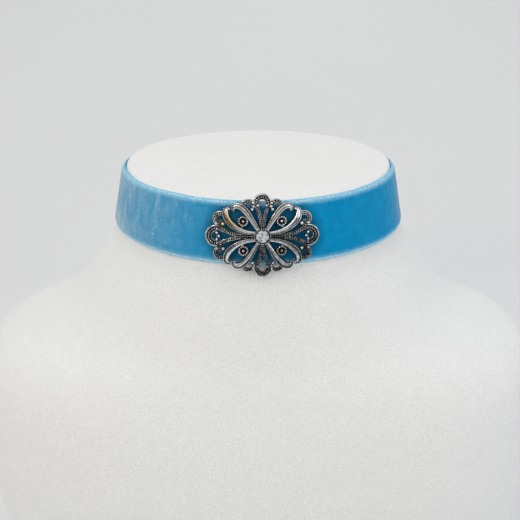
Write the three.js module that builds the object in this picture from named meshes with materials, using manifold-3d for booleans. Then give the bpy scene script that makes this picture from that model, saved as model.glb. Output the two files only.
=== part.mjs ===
// A velvet ribbon choker with a pierced antique-silver ornament and a clear stone, on a plain neck bust.
// Millimetres, +Z up, the front faces -Y. The origin is on the bust's flat base, under the neck's axis.
import * as THREE from "three";
import { mergeVertices } from "three/addons/utils/BufferGeometryUtils.js";
import Module from "manifold-3d";

const wasm = await Module();
wasm.setup();

// Bust
const bustHeight = 180;
const neckWidth = 101.6;
const neckFrontReach = 53.2;
const neckBackReach = 42.7;
const neckCrown = 1.5;
const neckRimRadius = 1.8;
const collarDepth = 25.5;
const shoulderWidth = 224;
const chestReach = 86;
const bustBackReach = 48;
const baseEdgeRadius = 2;
// How far the neck widens for each millimetre down, at its side, front and back
const flareSide = 0.18;
const flareFront = 0.162;
const flareBack = 0.1;

// Ribbon
const ribbonWidth = 22.5;
const groundThickness = 0.7;
const pileHeight = 0.7;
const selvedgeWidth = 1;
const pileShoulder = 0.5;
const ribbonFit = 0.4;
const ribbonLift = 1;
const ribbonBackDrop = 6.6;
// Above 1 the ribbon stays high along the sides and falls more behind
const ribbonDropPower = 1.4;
const closureGap = 6;

// Clasp
const claspGrip = 5;
const claspThickness = 1;
const claspClearance = 0.3;

// Ornament
const ornamentWidth = 39.2;
const ornamentHeight = 29;
// How far its middle lies to the +X side of the front and below the ribbon's middle
const ornamentAside = 1.4;
const ornamentDrop = 0.5;
const ornamentBendRadius = 80;
const ornamentCrown = 0.8;
const seatGap = 0.3;
const castingBack = 0.15;
const beadPitch = 1.15;
const beadHeight = 0.13;
const lineEdge = 0.3;
const lineGroove = 0.32;
const petalGroove = 0.2;
const lobeLevel = 0.95;
const bandWidth = 2.25;
const bandLevel = 2;
const stemWidth = 1.25;
const stemLevel = 1.35;
const archWidth = 2.35;
const topLobeWidth = 2;
const sideLobeWidth = 1.55;
const shoulderLobeWidth = 1.35;
const railRadius = 0.32;
const barWidth = 2.2;
const barLevel = 1.35;
const rosetteRadius = 1.9;
const rosetteLevel = 1.2;
const rosetteBeads = 8;
const ballRadius = 0.75;
const meshTolerance = 0.03;

// Stone and its cup
const stoneDiameter = 4.4;
const stoneTableDiameter = 2.4;
const stoneGirdle = 0.4;
const stoneCrown = 1.05;
const stoneClearance = 0.3;
const cupWall = 0.45;
const cupFloor = 1.2;
const cupLip = 0.45;
const cupBeads = 12;

const turn = 2 * Math.PI;

// Geometry helpers

// A closed surface through a list of rings with equally many points. A fan to a middle point fills
// each end.
function loft(rings, firstMiddle, lastMiddle) {
  const sides = rings[0].length;
  const points = [...rings.flat(), firstMiddle, lastMiddle];
  const first = points.length - 2;
  const last = points.length - 1;
  const faces = [];
  for (let k = 0; k < rings.length - 1; k++) {
    for (let i = 0; i < sides; i++) {
      const a = k * sides + i;
      const b = k * sides + ((i + 1) % sides);
      faces.push(a, b, b + sides, a, b + sides, a + sides);
    }
  }
  const lastRing = (rings.length - 1) * sides;
  for (let i = 0; i < sides; i++) {
    const j = (i + 1) % sides;
    faces.push(first, j, i, last, lastRing + i, lastRing + j);
  }
  return new THREE.BufferGeometry().setFromPoints(points).setIndex(faces);
}

function middleOf(ring) {
  return ring.reduce((sum, p) => sum.add(p), new THREE.Vector3()).divideScalar(ring.length);
}

// A loft whose ends are closed by its own outline, given flat, running round anticlockwise as seen
// with the rings coming nearer.
function capped(rings, outline) {
  const sides = rings[0].length;
  const flat = THREE.ShapeUtils.triangulateShape(outline, []);
  const faces = [];
  for (let k = 0; k < rings.length - 1; k++) {
    for (let i = 0; i < sides; i++) {
      const a = k * sides + i;
      const b = k * sides + ((i + 1) % sides);
      faces.push(a, b, b + sides, a, b + sides, a + sides);
    }
  }
  const lastRing = (rings.length - 1) * sides;
  for (const [a, b, c] of flat) {
    faces.push(a, c, b, lastRing + a, lastRing + b, lastRing + c);
  }
  return new THREE.BufferGeometry().setFromPoints(rings.flat()).setIndex(faces);
}

function solidOf(geometry) {
  const bare = new THREE.BufferGeometry()
    .setAttribute("position", geometry.getAttribute("position"))
    .setIndex(geometry.index);
  const welded = mergeVertices(bare, 1e-4);
  const solid = new wasm.Manifold(
    new wasm.Mesh({
      numProp: 3,
      vertProperties: new Float32Array(welded.attributes.position.array),
      triVerts: new Uint32Array(welded.index.array),
    }),
  );
  if (solid.volume() < 0) throw new Error("a piece is inside out");
  return solid;
}

function geometryOf(solid) {
  const mesh = solid.getMesh();
  const geometry = new THREE.BufferGeometry()
    .setAttribute("position", new THREE.BufferAttribute(new Float32Array(mesh.vertProperties), 3))
    .setIndex(new THREE.BufferAttribute(new Uint32Array(mesh.triVerts), 1));
  geometry.computeVertexNormals();
  return geometry;
}

function joined(solids) {
  let row = solids;
  while (row.length > 1) {
    const next = [];
    for (let i = 0; i < row.length; i += 2) next.push(i + 1 < row.length ? row[i].add(row[i + 1]) : row[i]);
    row = next;
  }
  return row[0];
}

// The neck is a straight-sided oval cone. Angle 0 is the front, and a quarter turn is the +X side.

function neckOval(z) {
  const below = bustHeight - z;
  return {
    side: neckWidth / 2 + flareSide * below,
    front: neckFrontReach + flareFront * below,
    back: neckBackReach + flareBack * below,
  };
}

function ovalPoint(oval, angle, z, squareness = 2) {
  const power = 2 / squareness;
  const across = Math.sign(Math.sin(angle)) * Math.abs(Math.sin(angle)) ** power;
  const along = Math.sign(Math.cos(angle)) * Math.abs(Math.cos(angle)) ** power;
  return new THREE.Vector3(oval.side * across, -(along > 0 ? oval.front : oval.back) * along, z);
}

// Bust

const bustSides = 48;
const collar = neckOval(bustHeight - collarDepth);
// Below the collar: the fall as a share of the height left, and how far each reach has gone from
// the collar's to its fullest.
const bustSections = [
  { fall: 0.0, side: 0.0, front: 0.0, back: 0.0, squareness: 2.0 },
  { fall: 0.03, side: 0.065, front: 0.06, back: 0.08, squareness: 2.0 },
  { fall: 0.075, side: 0.145, front: 0.16, back: 0.25, squareness: 2.04 },
  { fall: 0.145, side: 0.264, front: 0.29, back: 0.55, squareness: 2.12 },
  { fall: 0.178, side: 0.35, front: 0.345, back: 0.75, squareness: 2.17 },
  { fall: 0.204, side: 0.45, front: 0.395, back: 0.82, squareness: 2.21 },
  { fall: 0.23, side: 0.62, front: 0.455, back: 0.88, squareness: 2.26 },
  { fall: 0.258, side: 0.785, front: 0.52, back: 0.93, squareness: 2.31 },
  { fall: 0.298, side: 0.915, front: 0.6, back: 0.97, squareness: 2.36 },
  { fall: 0.35, side: 0.98, front: 0.7, back: 1.0, squareness: 2.4 },
  { fall: 0.44, side: 1.0, front: 0.83, back: 1.0, squareness: 2.42 },
  { fall: 0.56, side: 1.0, front: 0.95, back: 1.0, squareness: 2.42 },
  { fall: 0.69, side: 0.965, front: 1.0, back: 1.0, squareness: 2.42 },
  { fall: 0.84, side: 0.9, front: 0.95, back: 1.0, squareness: 2.42 },
  { fall: 1.0, side: 0.82, front: 0.84, back: 1.0, squareness: 2.42 },
];

function mix(from, to, share) {
  return from + (to - from) * share;
}

function bustRing(oval, z, squareness, inset = 0) {
  const smaller = { side: oval.side - inset, front: oval.front - inset, back: oval.back - inset };
  return Array.from({ length: bustSides }, (_, i) =>
    ovalPoint(smaller, (turn * i) / bustSides, z, squareness),
  );
}

function neckBust() {
  const rings = [];
  const collarZ = bustHeight - collarDepth;
  const sections = bustSections.map((row) => ({
    z: collarZ * (1 - row.fall),
    squareness: row.squareness,
    oval: {
      side: mix(collar.side, shoulderWidth / 2, row.side),
      front: mix(collar.front, chestReach, row.front),
      back: mix(collar.back, bustBackReach, row.back),
    },
  }));
  const base = sections.pop();
  const edgeTurns = [0, 0.5, 1];
  for (const t of edgeTurns) {
    const angle = (t * Math.PI) / 2;
    rings.push(
      bustRing(base.oval, baseEdgeRadius * (1 - Math.sin(angle)), base.squareness,
        baseEdgeRadius * (1 - Math.cos(angle))),
    );
  }
  rings.reverse();
  for (const s of sections.reverse()) rings.push(bustRing(s.oval, s.z, s.squareness));
  for (const t of [0, 1 / 3, 2 / 3, 1]) {
    const angle = (t * Math.PI) / 2;
    const z = bustHeight - neckRimRadius * (1 - Math.sin(angle));
    rings.push(bustRing(neckOval(z), z, 2, neckRimRadius * (1 - Math.cos(angle))));
  }
  const top = neckOval(bustHeight);
  const innerShare = 0.55;
  const inner = { side: top.side * innerShare, front: top.front * innerShare, back: top.back * innerShare };
  rings.push(bustRing(inner, bustHeight + neckCrown * 0.8, 2));
  return loft(rings, new THREE.Vector3(0, 0, 0), new THREE.Vector3(0, 0, bustHeight + neckCrown));
}

// Ribbon. A place on it is an angle round the neck, a distance down from its upper edge, and a
// height above its inner face.

function ribbonTop(angle) {
  return bustHeight + ribbonLift - ribbonBackDrop * ((1 - Math.cos(angle)) / 2) ** ribbonDropPower;
}

function ribbonPlace(angle) {
  const z = ribbonTop(angle);
  const oval = neckOval(z);
  const front = Math.cos(angle) > 0;
  const start = ovalPoint(oval, angle, z);
  const down = new THREE.Vector3(
    flareSide * Math.sin(angle),
    -(front ? flareFront : flareBack) * Math.cos(angle),
    -1,
  ).normalize();
  const round = new THREE.Vector3(
    oval.side * Math.cos(angle),
    (front ? oval.front : oval.back) * Math.sin(angle),
    0,
  ).normalize();
  const out = new THREE.Vector3().crossVectors(down, round).normalize();
  return { start, down, out };
}

function ribbonPoint(angle, below, height) {
  const { start, down, out } = ribbonPlace(angle);
  return start.addScaledVector(down, below).addScaledVector(out, ribbonFit + height);
}

const ribbonThickness = groundThickness + pileHeight;
const backRadius = neckBackReach + ribbonFit;

// An outline of [height, distance down] pairs, carried round the neck between two angles.
function band(outline, from, to, steps) {
  const rings = Array.from({ length: steps + 1 }, (_, k) =>
    outline.map(([height, below]) => ribbonPoint(mix(from, to, k / steps), below, height)),
  );
  return capped(rings, outline.map(([height, below]) => new THREE.Vector2(height, below)));
}

function velvetRibbon() {
  const pileFoot = selvedgeWidth;
  const pileTop = selvedgeWidth + pileShoulder;
  const outline = [
    [0, 0],
    [groundThickness, 0],
    [groundThickness, pileFoot],
    [ribbonThickness, pileTop],
    [ribbonThickness, ribbonWidth - pileTop],
    [groundThickness, ribbonWidth - pileFoot],
    [groundThickness, ribbonWidth],
    [0, ribbonWidth],
  ];
  const end = Math.PI - closureGap / 2 / backRadius;
  return band(outline, -end, end, 76);
}

// The closure behind the neck: a channel whose lips fold over both ends of the ribbon.
function backClasp() {
  const edge = claspClearance + claspThickness;
  const inside = ribbonThickness + claspClearance;
  const outside = inside + claspThickness;
  const outline = [
    [0, -edge],
    [outside, -edge],
    [outside, ribbonWidth + edge],
    [0, ribbonWidth + edge],
    [0, ribbonWidth + claspClearance],
    [inside, ribbonWidth + claspClearance],
    [inside, -claspClearance],
    [0, -claspClearance],
  ];
  const half = (closureGap / 2 + claspGrip) / backRadius;
  return band(outline, Math.PI - half, Math.PI + half, 8);
}

// Ornament. One quarter is drawn flat, x across and y up with z outward, in shares of the half
// width and half height. Each stroke is bent round the neck as it is made.

const halfWidth = ornamentWidth / 2;
const halfHeight = ornamentHeight / 2;

function bent(x, y, z) {
  const angle = x / ornamentBendRadius;
  const radius = ornamentBendRadius + z - ornamentCrown * (y / halfHeight) ** 2;
  return new THREE.Vector3(radius * Math.sin(angle), y, radius * Math.cos(angle) - ornamentBendRadius);
}

function place({ u, v }) {
  return new THREE.Vector2(u * halfWidth, v * halfHeight);
}

function spline(rows) {
  return new THREE.SplineCurve(rows.map(place));
}

// The value of a table's column at a share t of the way along its rows.
function along(rows, column, t) {
  const at = t * (rows.length - 1);
  const i = Math.min(Math.floor(at), rows.length - 2);
  return mix(rows[i][column], rows[i + 1][column], at - i);
}

// A stroke along a flat curve. sectionAt(t, k) gives its outline there, as [across, outward] pairs.
function stroke(curve, steps, sectionAt) {
  const rings = Array.from({ length: steps + 1 }, (_, k) => {
    const t = k / steps;
    const p = curve.getPointAt(t);
    const direction = curve.getTangentAt(t);
    return sectionAt(t, k).map(([across, outward]) =>
      bent(p.x - direction.y * across, p.y + direction.x * across, outward),
    );
  });
  return solidOf(loft(rings, middleOf(rings[0]), middleOf(rings[steps])));
}

function beadSteps(curve) {
  return 2 * Math.max(2, Math.round(curve.getLength() / beadPitch));
}

function beadAt(k) {
  return k % 2 ? beadHeight : -beadHeight;
}

// A cast line with two ridges: a beaded one on its left and a plain one on its right.
function doubleLine(curve, widthAt, levelAt) {
  return stroke(curve, beadSteps(curve), (t, k) => {
    const half = widthAt(t) / 2;
    const level = levelAt(t);
    return [
      [half, castingBack],
      [half, level - lineEdge],
      [0.5 * half, level + beadAt(k)],
      [0, level - lineGroove],
      [-0.55 * half, level],
      [-half, level - lineEdge],
      [-half, castingBack],
    ];
  });
}

// A round wire with one flat against the back.
function wire(curve, steps, radius, level) {
  const sides = 6;
  return stroke(curve, steps, () =>
    Array.from({ length: sides }, (_, i) => {
      const angle = (turn * (i + 0.5)) / sides;
      return [radius * Math.cos(angle), level + radius * Math.sin(angle)];
    }),
  );
}

// A round casting made of rings, from its back to its middle. Each row has a radius, a level and
// the share of a bead's height that it swells by.
function turned(centre, rows, beads) {
  const sides = 2 * beads;
  const rings = rows.map(({ radius, level, swell = 0 }) =>
    Array.from({ length: sides }, (_, i) => {
      const angle = (turn * i) / sides;
      return bent(
        centre.x + radius * Math.cos(angle),
        centre.y + radius * Math.sin(angle),
        level + swell * beadAt(i),
      );
    }),
  );
  const first = rows[0].level;
  const last = rows[rows.length - 1].level;
  return solidOf(loft(rings, bent(centre.x, centre.y, first), bent(centre.x, centre.y, last)));
}

function ball({ u, v, size, level }) {
  const centre = place({ u, v });
  const geometry = new THREE.SphereGeometry(size * ballRadius, 8, 5);
  geometry.rotateX(Math.PI / 2).translate(centre.x, centre.y, level * lobeLevel);
  const position = geometry.getAttribute("position");
  for (let i = 0; i < position.count; i++) {
    const p = bent(position.getX(i), position.getY(i), position.getZ(i));
    position.setXYZ(i, p.x, p.y, p.z);
  }
  return solidOf(geometry);
}

// The polished bands that curl to form each corner petal: place, then width and outward level as
// shares of the band's.
const upperBand = [
  { u: 0.075, v: 0.15, width: 0.49, level: 0.95 },
  { u: 0.145, v: 0.315, width: 0.64, level: 0.975 },
  { u: 0.216, v: 0.475, width: 0.78, level: 1 },
  { u: 0.284, v: 0.598, width: 0.89, level: 0.975 },
  { u: 0.36, v: 0.69, width: 0.98, level: 0.925 },
  { u: 0.44, v: 0.722, width: 0.98, level: 0.85 },
  { u: 0.497, v: 0.682, width: 0.89, level: 0.75 },
  { u: 0.495, v: 0.6, width: 0.36, level: 0.65 },
];
const lowerBand = [
  { u: 0.135, v: 0.09, width: 0.42, level: 0.95 },
  { u: 0.268, v: 0.11, width: 0.58, level: 0.975 },
  { u: 0.398, v: 0.17, width: 0.71, level: 1 },
  { u: 0.512, v: 0.272, width: 0.84, level: 1 },
  { u: 0.594, v: 0.395, width: 0.96, level: 0.95 },
  { u: 0.632, v: 0.52, width: 1, level: 0.875 },
  { u: 0.622, v: 0.622, width: 0.89, level: 0.75 },
  { u: 0.56, v: 0.66, width: 0.36, level: 0.65 },
];

function polishedBand(rows, steps) {
  return stroke(spline(rows), steps, (t) => {
    const half = (bandWidth * along(rows, "width", t)) / 2;
    const level = bandLevel * along(rows, "level", t);
    return [
      [half, castingBack],
      [half, level - lineEdge],
      [0.62 * half, level],
      [0, level - petalGroove],
      [-0.62 * half, level],
      [-half, level - lineEdge],
      [-half, castingBack],
    ];
  });
}

// The scallops of the rim: centre, outer radius as a share of the half height, arc in degrees.
const endArch = { u: 0.805, v: 0, radius: 0.266, from: -96, to: 96 };
const topLobe = { u: 0, v: 0.787, radius: 0.213, from: -14, to: 194 };
const sideLobe = { u: 0.728, v: 0.41, radius: 0.184, from: -40, to: 120 };
const shoulderLobe = { u: 0.247, v: 0.7, radius: 0.176, from: 8, to: 142 };

class LobeCurve extends THREE.Curve {
  constructor(lobe, width) {
    super();
    this.lobe = lobe;
    this.reach = lobe.radius * halfHeight - width / 2;
  }
  getPoint(t, target = new THREE.Vector2()) {
    const centre = place(this.lobe);
    const angle = THREE.MathUtils.degToRad(mix(this.lobe.from, this.lobe.to, t));
    return target.set(
      centre.x + this.reach * Math.cos(angle),
      centre.y + this.reach * Math.sin(angle),
    );
  }
}

function scallop(lobe, width) {
  return doubleLine(new LobeCurve(lobe, width), () => width, () => lobeLevel);
}

// The double stems that part from each axis, and the scroll that ends each arm. Widths and levels
// are shares of the stem's.
const sideStem = [
  { u: 0.39, v: 0.04, width: 0.96, level: 0.963 },
  { u: 0.46, v: 0.042, width: 1, level: 0.963 },
  { u: 0.53, v: 0.062, width: 1, level: 0.926 },
  { u: 0.6, v: 0.1, width: 1, level: 0.889 },
  { u: 0.665, v: 0.15, width: 0.96, level: 0.852 },
  { u: 0.725, v: 0.208, width: 0.92, level: 0.815 },
  { u: 0.757, v: 0.28, width: 0.8, level: 0.815 },
  { u: 0.742, v: 0.35, width: 0.72, level: 0.815 },
  { u: 0.703, v: 0.362, width: 0.64, level: 0.815 },
];
const topStem = [
  { u: 0.022, v: 0.19, width: 0.88, level: 1 },
  { u: 0.026, v: 0.3, width: 0.92, level: 1 },
  { u: 0.036, v: 0.43, width: 0.96, level: 0.963 },
  { u: 0.06, v: 0.56, width: 0.96, level: 0.889 },
  { u: 0.09, v: 0.67, width: 0.92, level: 0.815 },
  { u: 0.118, v: 0.76, width: 0.84, level: 0.741 },
];
const innerRail = [
  { u: 0.59, v: 0.07 },
  { u: 0.68, v: 0.105 },
  { u: 0.805, v: 0.19 },
];
const rosetteLink = [
  { u: 0.33, v: 0.35 },
  { u: 0.365, v: 0.16 },
];
const rosette = { u: 0.332, v: 0.355 };

function doubleStem(rows) {
  return doubleLine(
    spline(rows),
    (t) => stemWidth * along(rows, "width", t),
    (t) => stemLevel * along(rows, "level", t),
  );
}

// Balls where lines end or meet: place, radius as a share of the largest's and level as a share of
// the lobes'.
const quarterBalls = [
  { u: 0.68, v: 0.3, size: 1, level: 1.05 },
  { u: 0.07, v: 0.735, size: 0.73, level: 1.05 },
  { u: 0.153, v: 0.71, size: 0.8, level: 1 },
  { u: 0.176, v: 0.642, size: 0.91, level: 1 },
  { u: 0.8, v: 0.3, size: 0.93, level: 0.63 },
  { u: 0.158, v: 0.79, size: 0.93, level: 0.63 },
  { u: 0.79, v: 0.08, size: 0.77, level: 0.95 },
];

function rosetteCasting() {
  const r = rosetteRadius;
  const rows = [
    { radius: 0.92 * r, level: castingBack },
    { radius: r, level: rosetteLevel - lineEdge },
    { radius: 0.82 * r, level: rosetteLevel, swell: 1 },
    { radius: 0.58 * r, level: rosetteLevel - 2 * lineGroove },
    { radius: 0.34 * r, level: rosetteLevel - lineGroove },
    { radius: 0.2 * r, level: rosetteLevel },
  ];
  return turned(place(rosette), rows, rosetteBeads);
}

function quarter() {
  return joined([
    polishedBand(upperBand, 10),
    polishedBand(lowerBand, 10),
    scallop(sideLobe, sideLobeWidth),
    scallop(shoulderLobe, shoulderLobeWidth),
    doubleStem(sideStem),
    doubleStem(topStem),
    wire(spline(innerRail), 4, railRadius, lobeLevel - railRadius),
    wire(spline(rosetteLink), 2, railRadius, lobeLevel - railRadius),
    rosetteCasting(),
    ...quarterBalls.map(ball),
  ]);
}

// The bar of three beaded rows along the long axis.
function beadedBar() {
  const curve = spline([{ u: 0.135, v: 0 }, { u: 0.28, v: 0 }, { u: 0.42, v: 0 }]);
  const half = barWidth / 2;
  const rows = [0.68, 0, -0.68];
  return stroke(curve, beadSteps(curve), (t, k) => [
    [half, castingBack],
    [half, barLevel - lineEdge],
    [rows[0] * half, barLevel + beadAt(k)],
    [0.34 * half, barLevel - lineGroove / 2],
    [rows[1] * half, barLevel + beadAt(k)],
    [-0.34 * half, barLevel - lineGroove / 2],
    [rows[2] * half, barLevel + beadAt(k)],
    [-half, barLevel - lineEdge],
    [-half, castingBack],
  ]);
}

// The upright drop that stands inside each end arch, with its point towards the stone.
function archDrop() {
  const upright = spline([{ u: 0.8, v: -0.17 }, { u: 0.785, v: 0 }, { u: 0.8, v: 0.17 }]);
  return [
    wire(upright, 4, railRadius, lobeLevel - railRadius),
    ball({ u: 0.755, v: 0, size: 0.8, level: 0.95 }),
  ];
}

const stoneRadius = stoneDiameter / 2;
const pocketRadius = stoneRadius + stoneClearance;
const cupRadius = pocketRadius + cupWall;
const stoneSeat = cupFloor + stoneClearance;
const cupTop = stoneSeat + cupLip;

function cup() {
  const rows = [
    { radius: cupRadius, level: castingBack },
    { radius: cupRadius, level: cupTop - lineEdge },
    { radius: pocketRadius + cupWall / 2, level: cupTop, swell: 1 },
    { radius: pocketRadius, level: cupTop - lineEdge },
    { radius: pocketRadius, level: cupFloor },
  ];
  return turned(new THREE.Vector2(), rows, cupBeads);
}

function mirrored(solid, x, y) {
  const geometry = geometryOf(solid).scale(x, y, 1);
  if (x * y < 0) geometry.setIndex([...geometry.index.array].reverse());
  return solidOf(geometry);
}

function filigreeOrnament() {
  const corner = quarter();
  const side = joined([scallop(endArch, archWidth), beadedBar(), ...archDrop()]);
  const top = scallop(topLobe, topLobeWidth);
  return geometryOf(
    joined([
      cup(),
      corner,
      mirrored(corner, -1, 1),
      mirrored(corner, -1, -1),
      mirrored(corner, 1, -1),
      side,
      mirrored(side, -1, 1),
      top,
      mirrored(top, 1, -1),
    ]).simplify(meshTolerance),
  );
}

// A flat-backed stone: an eight-sided table, 24 crown facets and a sixteen-sided girdle.
function faceted() {
  const mains = 8;
  const ringAt = (count, radius, z) =>
    Array.from({ length: count }, (_, i) => {
      const angle = (turn * i) / count;
      return new THREE.Vector3(radius * Math.cos(angle), radius * Math.sin(angle), z);
    });
  const table = ringAt(mains, stoneTableDiameter / 2, stoneSeat + stoneGirdle + stoneCrown);
  const girdleTop = ringAt(2 * mains, stoneRadius, stoneSeat + stoneGirdle);
  const girdleBack = ringAt(2 * mains, stoneRadius, stoneSeat);
  const points = [...table, ...girdleTop, ...girdleBack];
  const t = (i) => i % mains;
  const g = (i) => mains + (i % (2 * mains));
  const b = (i) => 3 * mains + (i % (2 * mains));
  const faces = [];
  for (let i = 1; i < mains - 1; i++) faces.push(t(0), t(i), t(i + 1));
  for (let i = 0; i < mains; i++) {
    faces.push(t(i), g(2 * i), g(2 * i + 1));
    faces.push(t(i), g(2 * i + 1), t(i + 1));
    faces.push(t(i + 1), g(2 * i + 1), g(2 * i + 2));
  }
  for (let i = 0; i < 2 * mains; i++) faces.push(g(i), b(i), b(i + 1), g(i), b(i + 1), g(i + 1));
  for (let i = 1; i < 2 * mains - 1; i++) faces.push(b(0), b(i + 1), b(i));
  return new THREE.BufferGeometry().setFromPoints(points).setIndex(faces);
}

// Assembly

function named(name, geometry, color, roughness, metalness) {
  const mesh = new THREE.Mesh(geometry, new THREE.MeshStandardMaterial({ color, roughness, metalness }));
  mesh.name = name;
  return mesh;
}

const choker = new THREE.Group();
choker.add(
  named("neck_bust", neckBust(), "#e4e4e2", 0.95, 0),
  named("velvet_ribbon", velvetRibbon(), "#1b7db0", 0.9, 0),
  named("back_clasp", backClasp(), "#8f8b84", 0.35, 1),
);

// The ornament lies along the ribbon's front. Its crowned back clears the pile by the seat's gap
// out to the pile's upper edge.
const pileReach = ribbonWidth / 2 + ornamentDrop - selvedgeWidth - pileShoulder;
const jewelHeight = ribbonThickness + seatGap + ornamentCrown * (pileReach / halfHeight) ** 2;
const jewelAngle = Math.asin(ornamentAside / (neckWidth / 2));
const { down, out } = ribbonPlace(jewelAngle);
const jewel = new THREE.Group();
jewel.position.copy(ribbonPoint(jewelAngle, ribbonWidth / 2 + ornamentDrop, jewelHeight));
jewel.quaternion.setFromRotationMatrix(
  new THREE.Matrix4().makeBasis(new THREE.Vector3().crossVectors(out, down), down.clone().negate(), out),
);
jewel.add(
  named("filigree_ornament", filigreeOrnament(), "#8d877c", 0.3, 1),
  named("clear_stone", faceted(), "#eef4f6", 0.05, 0),
);
choker.add(jewel);

export default choker;
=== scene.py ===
# A velvet ribbon choker with a pierced silver ornament, on a plain neck bust, dressed round its frame.
import math

import bpy
import numpy as np
from mathutils import Matrix, Vector


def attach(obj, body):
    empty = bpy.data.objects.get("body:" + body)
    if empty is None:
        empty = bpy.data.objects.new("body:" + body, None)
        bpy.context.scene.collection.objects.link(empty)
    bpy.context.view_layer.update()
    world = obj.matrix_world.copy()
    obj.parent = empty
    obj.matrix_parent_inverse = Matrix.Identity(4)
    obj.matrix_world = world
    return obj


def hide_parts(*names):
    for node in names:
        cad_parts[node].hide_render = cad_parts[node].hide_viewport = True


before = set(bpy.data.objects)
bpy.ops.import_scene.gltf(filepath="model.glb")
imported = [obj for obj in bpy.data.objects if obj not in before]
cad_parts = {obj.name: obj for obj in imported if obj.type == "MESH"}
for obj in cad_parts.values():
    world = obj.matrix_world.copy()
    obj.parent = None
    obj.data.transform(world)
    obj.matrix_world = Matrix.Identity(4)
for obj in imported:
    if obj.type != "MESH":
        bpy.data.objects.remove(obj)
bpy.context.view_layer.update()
MM = 0.001
TURN = 2 * math.pi

# Driving sizes in millimetres, the same as the solids'
BUST_HEIGHT = 180.0
NECK_WIDTH = 101.6
NECK_FRONT = 53.2
NECK_BACK = 42.7
NECK_CROWN = 1.5
NECK_RIM = 1.8
COLLAR_DEPTH = 25.5
SHOULDER_WIDTH = 224.0
CHEST_REACH = 86.0
BUST_BACK = 48.0
BASE_EDGE = 2.0
FLARE_SIDE = 0.18
FLARE_FRONT = 0.162
FLARE_BACK = 0.1

RIBBON_WIDTH = 22.5
GROUND = 0.7
PILE = 0.7
SELVEDGE = 1.0
PILE_SHOULDER = 0.5
RIBBON_FIT = 0.4
RIBBON_LIFT = 1.0
RIBBON_BACK_DROP = 6.6
# Above 1 the ribbon stays high along the sides and falls more behind
RIBBON_DROP_POWER = 1.4
CLOSURE_GAP = 6.0

CLASP_GRIP = 5.0
CLASP_THICKNESS = 1.0
CLASP_CLEARANCE = 0.3

ORNAMENT_WIDTH = 39.2
ORNAMENT_HEIGHT = 29.0
ORNAMENT_ASIDE = 1.4
ORNAMENT_DROP = 0.5
ORNAMENT_BEND = 80.0
ORNAMENT_CROWN = 0.8
SEAT_GAP = 0.3

STONE_DIAMETER = 4.4
STONE_TABLE = 2.4
STONE_GIRDLE = 0.4
STONE_CROWN = 1.05
STONE_CLEARANCE = 0.3
CUP_WALL = 0.45
CUP_FLOOR = 1.2
CUP_LIP = 0.45

RIBBON_THICKNESS = GROUND + PILE


# Camera: the seat and the turn were found by fitting the ribbon's edges and the neck's rim.

CAMERA_DISTANCE = 400.0
CAMERA_AIM_Z = 170.6
CAMERA_SEAT_ELEVATION = 18.05
CAMERA_SEAT_AZIMUTH = 0.134
CAMERA_TILT = 22.49
CAMERA_PAN = 0.033
LENS = 70.18
SENSOR = 36.0


def linked(name, data):
    """A new object in the scene."""
    item = bpy.data.objects.new(name, data)
    bpy.context.scene.collection.objects.link(item)
    return item


def direction(azimuth, elevation):
    """The way from the aim to the seat, both angles in degrees."""
    a, e = math.radians(azimuth), math.radians(elevation)
    return Vector((math.sin(a) * math.cos(e), -math.cos(a) * math.cos(e), math.sin(e)))


def make_camera():
    data = bpy.data.cameras.new("photo_camera")
    data.lens = LENS
    data.sensor_width = SENSOR
    data.clip_start = 0.01
    camera = linked("photo_camera", data)
    seat = direction(CAMERA_SEAT_AZIMUTH, CAMERA_SEAT_ELEVATION) * CAMERA_DISTANCE
    camera.location = (seat + Vector((0, 0, CAMERA_AIM_Z))) * MM
    back = direction(CAMERA_PAN, CAMERA_TILT)
    camera.rotation_euler = back.to_track_quat("Z", "Y").to_euler()
    bpy.context.scene.camera = camera


# Mesh helpers


def mesh_object(name, points, *groups, smooth=True):
    """An object from points in millimetres and one or more groups of faces."""
    mesh = bpy.data.meshes.new(name)
    faces = [tuple(map(int, face)) for group in groups for face in group]
    mesh.from_pydata((np.asarray(points, float) * MM).tolist(), [], faces)
    mesh.validate()
    mesh.polygons.foreach_set("use_smooth", [smooth] * len(mesh.polygons))
    mesh.update()
    return linked(name, mesh)


def grid_quads(rows, columns, wrap_columns=True, wrap_rows=False):
    """Faces of a grid of points, numbered row by row."""
    i = np.arange(rows if wrap_rows else rows - 1)[:, None]
    j = np.arange(columns if wrap_columns else columns - 1)[None, :]
    i2 = (i + 1) % rows
    j2 = (j + 1) % columns
    return np.stack(
        [i * columns + j, i * columns + j2, i2 * columns + j2, i2 * columns + j], axis=-1
    ).reshape(-1, 4)


def fan(middle, start, end):
    """Triangles from one point to each pair of places on a ring."""
    return np.stack([np.full(len(start), middle), start, end], 1)


def add_values(piece, name, values):
    """A number for each vertex, that the material reads by name."""
    layer = piece.data.attributes.new(name, "FLOAT", "POINT")
    layer.data.foreach_set("value", np.asarray(values, np.float32).ravel())


def table(names, *rows):
    """Rows as dictionaries, by the names of their columns."""
    return [dict(zip(names.split(), row)) for row in rows]


def smoothstep(low, high, x):
    t = np.clip((x - low) / (high - low), 0, 1)
    return t * t * (3 - 2 * t)


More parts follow.
